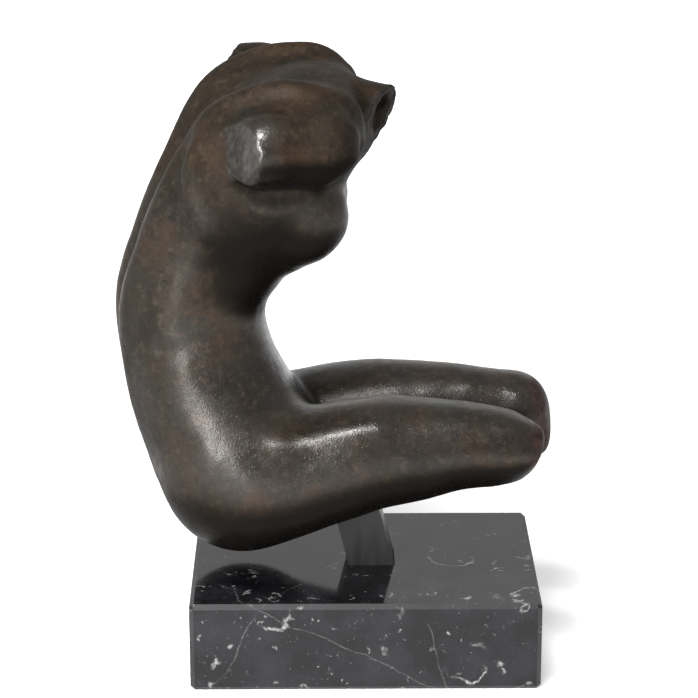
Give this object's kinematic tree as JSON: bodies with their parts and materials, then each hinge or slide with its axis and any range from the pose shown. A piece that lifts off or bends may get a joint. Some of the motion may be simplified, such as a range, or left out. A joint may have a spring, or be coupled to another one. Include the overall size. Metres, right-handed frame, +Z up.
{
  "type": "bronze torso sculpture",
  "caption": "Bronze torso of a seated figure bent forward over its lap, neck, arms and legs broken off, on a leaning steel bar over a polished black marble plinth.",
  "frame": {"origin": "centre of the plinth's flat underside", "axes": "+X the way the thighs point, +Y the figure's left, +Z up"},
  "size_m": [0.1777, 0.1166, 0.2469],
  "materials": {
    "patinated_bronze": "dark brown patina with green and red-brown clouding, semi-gloss, broken ends rough",
    "blackened_steel": "matt black, slightly brushed",
    "black_marble": "polished black stone with white veins and fossil shell marks"
  },
  "bodies": {
    "root": {"bronze_torso": "patinated_bronze", "support_bar": "blackened_steel", "marble_plinth": "black_marble"}
  },
  "joints": []
}
